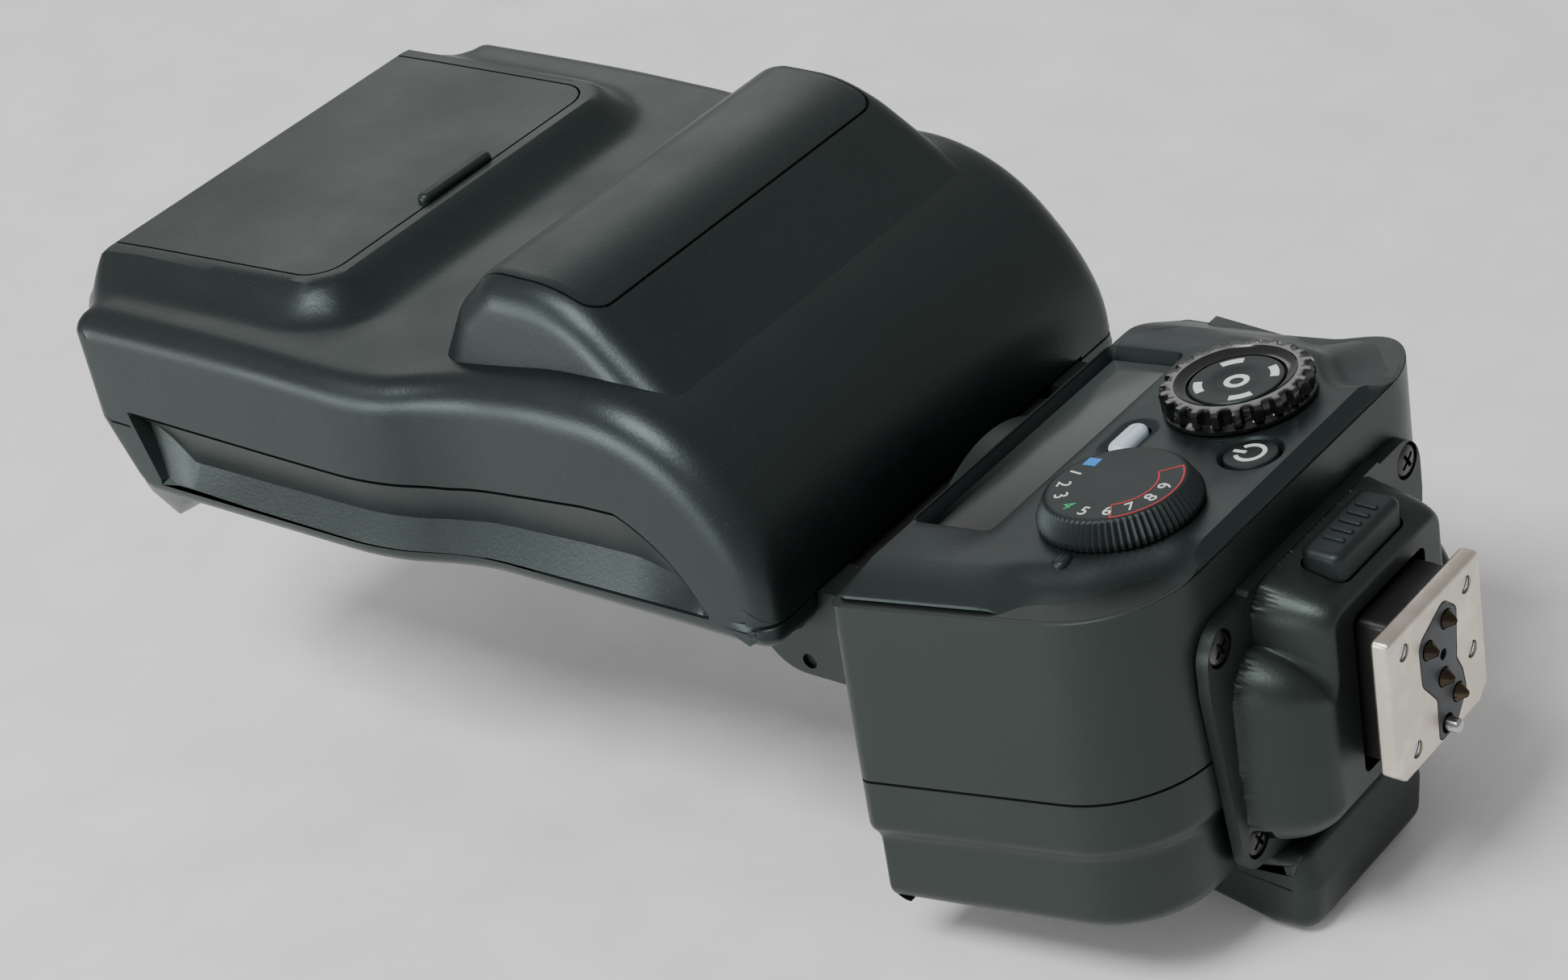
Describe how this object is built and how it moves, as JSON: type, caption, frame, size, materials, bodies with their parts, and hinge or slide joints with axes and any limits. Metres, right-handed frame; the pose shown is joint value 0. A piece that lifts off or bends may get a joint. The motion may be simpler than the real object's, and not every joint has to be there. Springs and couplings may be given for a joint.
{
  "type": "shoe-mount camera flash",
  "caption": "Black shoe-mount camera flash with a swivelling, tilting head, metal foot with contact pins, control panel with display, dials and buttons.",
  "frame": {"origin": "centre of the foot plate's outer face", "axes": "+X out of the foot, away from the head; +Z out of the control panel side; +Y across the body towards the battery door; the head is raised in line with the body"},
  "size_m": [0.1552, 0.073, 0.0685],
  "materials": {
    "plated_steel": "warm satin nickel plate",
    "contact_plastic": "dark grey, satin",
    "screw_steel": "bright turned heads",
    "gold_contact": "gold plated, bright",
    "pin_steel": "polished",
    "black_metal": "black, satin",
    "body_plastic": "black, fine grain, satin",
    "button_plastic": "black, smooth satin",
    "red_window": "dark red, polished",
    "lamp": "clear red",
    "board": "green solder mask",
    "cell": "printed wrap, satin",
    "spring_steel": "bright",
    "cage_plastic": "dark grey",
    "hinge_steel": "turned",
    "panel_plastic": "black, fine satin",
    "lcd_glass": "grey, polished",
    "lcd_cell": "grey cell with a pale backlight",
    "dial_plastic": "dark grey, matte",
    "gloss_black": "black, moulded gloss",
    "disc_plastic": "black, matte",
    "lamp_button": "milky white",
    "switch_metal": "stamped",
    "yoke_plastic": "black, satin",
    "head_plastic": "black, fine grain, satin",
    "lens": "clear moulded acrylic, prismatic",
    "diffuser": "milky clear",
    "card_white": "white, matte",
    "mirror_sheet": "bright anodised",
    "tube_glass": "clear quartz",
    "boot_rubber": "pale silicone",
    "carriage_plastic": "white",
    "capacitor_sleeve": "dark shrink sleeve",
    "coil_plastic": "taped"
  },
  "bodies": {
    "body": {"foot_plate": "plated_steel", "contact_block": "contact_plastic", "foot_screws": "screw_steel", "shoe_neck": "black_metal", "shoe_housing": "body_plastic", "housing_screws": "screw_steel", "rear_shell": "body_plastic", "front_shell": "body_plastic", "assist_window": "red_window", "assist_lamps": "lamp", "assist_board": "board", "battery_cells": "cell", "battery_springs": "spring_steel", "battery_cage": "cage_plastic", "panel_cover": "panel_plastic", "lcd_window": "lcd_glass", "lcd_module": "lcd_cell", "main_board": "board", "mode_switch": "switch_metal", "command_switch": "switch_metal", "button_switches": "switch_metal"},
    "contacts": {"contact_pins": "gold_contact"},
    "lock": {"lock_pin": "pin_steel"},
    "release": {"release_button": "button_plastic"},
    "door_slide": {"door_slider": "cage_plastic", "door_pin": "hinge_steel"},
    "door": {"battery_door": "body_plastic"},
    "mode_knob": {"mode_dial": "dial_plastic"},
    "command_wheel": {"command_dial": "gloss_black"},
    "select": {"select_button": "disc_plastic"},
    "power": {"power_button": "button_plastic"},
    "pilot": {"pilot_button": "lamp_button"},
    "turntable": {"tilt_yoke": "yoke_plastic", "swivel_retainer": "hinge_steel"},
    "head": {"tilt_bracket": "hinge_steel", "tilt_shaft": "hinge_steel", "detent_discs": "spring_steel", "head_upper_shell": "head_plastic", "head_lower_shell": "head_plastic", "panel_bay_cover": "head_plastic", "grip_rib": "head_plastic", "hump_cover": "head_plastic", "flash_lens": "lens", "guide_rods": "hinge_steel", "zoom_motor": "switch_metal", "main_capacitor": "capacitor_sleeve", "head_board": "board", "trigger_coil": "coil_plastic", "lens_clips": "cage_plastic"},
    "wide": {"wide_panel": "diffuser"},
    "card": {"bounce_card": "card_white"},
    "zoom": {"reflector": "mirror_sheet", "flash_tube": "tube_glass", "tube_boots": "boot_rubber", "zoom_carriage": "carriage_plastic"},
    "screw": {"lead_screw": "hinge_steel"}
  },
  "joints": [
    {"name": "head_swivel", "type": "hinge", "parent": "body", "child": "turntable", "pos_m": [-0.05, 0, 0], "axis": [1, 0, 0], "range_deg": [-180, 180]},
    {"name": "head_tilt", "type": "hinge", "parent": "turntable", "child": "head", "pos_m": [-0.0605, 0, 0.0035], "axis": [0, -1, 0], "range_deg": [0, 90]},
    {"name": "wide_panel_pull", "type": "slide", "parent": "head", "child": "wide", "axis": [-1, 0, 0], "range_m": [0, 0.033]},
    {"name": "bounce_card_pull", "type": "slide", "parent": "head", "child": "card", "axis": [-1, 0, 0], "range_m": [0, 0.033]},
    {"name": "zoom_travel", "type": "slide", "parent": "head", "child": "zoom", "axis": [-1, 0, 0], "range_m": [0, 0.018]},
    {"name": "lead_screw_turn", "type": "hinge", "parent": "head", "child": "screw", "pos_m": [-0.126, -0.012, 0.0028], "axis": [-1, 0, 0], "range_deg": [0, 1080]},
    {"name": "mode_dial_turn", "type": "hinge", "parent": "body", "child": "mode_knob", "pos_m": [-0.02692, -0.0125, 0.01941], "axis": [-0.124, 0, 0.9923], "range_deg": [-150, 150]},
    {"name": "command_dial_turn", "type": "hinge", "parent": "body", "child": "command_wheel", "pos_m": [-0.02692, 0.0101, 0.01941], "axis": [-0.124, 0, 0.9923], "continuous": true},
    {"name": "select_press", "type": "slide", "parent": "body", "child": "select", "axis": [0.124, 0, -0.9923], "range_m": [0, 0.0004], "stiffness_N_per_m": 900, "springref_m": -0.0006},
    {"name": "power_press", "type": "slide", "parent": "body", "child": "power", "axis": [0.124, 0, -0.9923], "range_m": [0, 0.0006], "stiffness_N_per_m": 900, "springref_m": -0.0006},
    {"name": "pilot_press", "type": "slide", "parent": "body", "child": "pilot", "axis": [0.124, 0, -0.9923], "range_m": [0, 0.0005], "stiffness_N_per_m": 900, "springref_m": -0.0006},
    {"name": "release_press", "type": "slide", "parent": "body", "child": "release", "axis": [0, 0, -1], "range_m": [0, 0.0018], "stiffness_N_per_m": 500, "springref_m": -0.001},
    {"name": "lock_pin_retract", "type": "slide", "parent": "body", "child": "lock", "axis": [-1, 0, 0], "range_m": [0, 0.0016]},
    {"name": "contact_press", "type": "slide", "parent": "body", "child": "contacts", "axis": [-1, 0, 0], "range_m": [0, 0.0008], "stiffness_N_per_m": 900, "springref_m": -0.0004},
    {"name": "door_unlatch", "type": "slide", "parent": "body", "child": "door_slide", "axis": [0, 0, -1], "range_m": [0, 0.005]},
    {"name": "door_swing", "type": "hinge", "parent": "door_slide", "child": "door", "pos_m": [-0.03275, 0.03049, -0.0176], "axis": [-0.9956, 0.0941, 0], "range_deg": [0, 100]}
  ],
  "couplings": [
    {"joint": "lead_screw_turn", "follows": "zoom_travel", "rad_per_m": 1047.2},
    {"joint": "lock_pin_retract", "follows": "release_press", "ratio": 0.8888}
  ]
}
